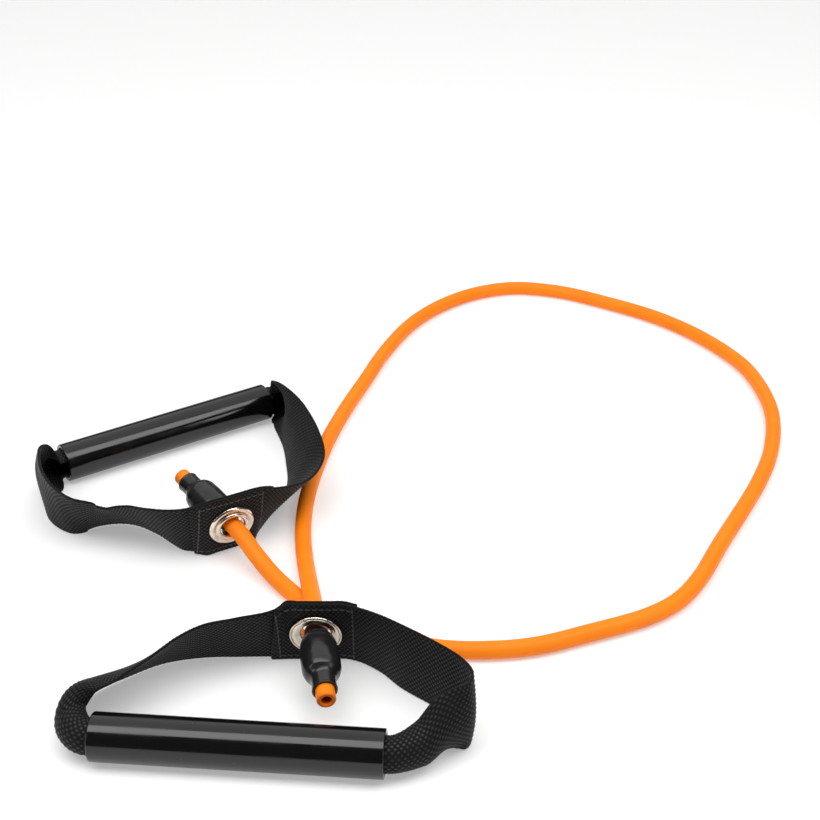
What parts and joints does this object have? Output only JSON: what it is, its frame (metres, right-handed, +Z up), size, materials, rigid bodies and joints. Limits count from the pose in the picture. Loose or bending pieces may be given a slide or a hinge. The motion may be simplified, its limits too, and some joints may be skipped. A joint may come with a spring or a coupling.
{
  "type": "resistance band",
  "caption": "Hollow elastic exercise tube looped on the floor, with a webbing strap handle and hard grip at each end.",
  "frame": {"origin": "on the floor, at the middle of the box that the two handles take up", "axes": "+Z up; +Y from the front handle towards the back one; +X to the side that the tube's loop lies on"},
  "size_m": [0.4293, 0.4747, 0.0384],
  "materials": {
    "tube": "satin extruded elastomer",
    "plug": "moulded",
    "sleeve": "satin moulded rubber",
    "webbing": "plain woven webbing",
    "thread": "sewing thread",
    "grommet": "nickel plated, polished",
    "grip": "glossy hard plastic"
  },
  "bodies": {
    "band": {"elastic_tube": "tube", "front_tube_plug": "plug", "front_sleeve": "sleeve", "back_tube_plug": "plug", "back_sleeve": "sleeve"},
    "front_handle": {"front_strap": "webbing", "front_grommet_eyelet": "grommet", "front_grommet_washer": "grommet", "front_stitch_row_inner_end": "thread", "front_stitch_row_outer_end": "thread", "front_stitch_row_top": "thread", "front_stitch_row_bottom": "thread"},
    "front_grip_tube": {"front_grip": "grip"},
    "back_handle": {"back_strap": "webbing", "back_grommet_eyelet": "grommet", "back_grommet_washer": "grommet", "back_stitch_row_inner_end": "thread", "back_stitch_row_outer_end": "thread", "back_stitch_row_top": "thread", "back_stitch_row_bottom": "thread"},
    "back_grip_tube": {"back_grip": "grip"}
  },
  "joints": [
    {"name": "front_handle_swivel", "type": "hinge", "parent": "band", "child": "front_handle", "pos_m": [0.0444, -0.0746, 0.01907], "axis": [0, 1, 0], "range_deg": [-90, 90]},
    {"name": "front_grip_spin", "type": "hinge", "parent": "front_handle", "child": "front_grip_tube", "pos_m": [0.0144, -0.1398, 0.01075], "axis": [0.9966, -0.0819, 0], "continuous": true},
    {"name": "back_handle_swivel", "type": "hinge", "parent": "band", "child": "back_handle", "pos_m": [-0.005, 0.0116, 0.01888], "axis": [0.4695, -0.8829, 0], "range_deg": [0, 90]},
    {"name": "back_grip_spin", "type": "hinge", "parent": "back_handle", "child": "back_grip_tube", "pos_m": [-0.0528, 0.1137, 0.01075], "axis": [-0.8453, -0.5344, 0], "continuous": true}
  ]
}
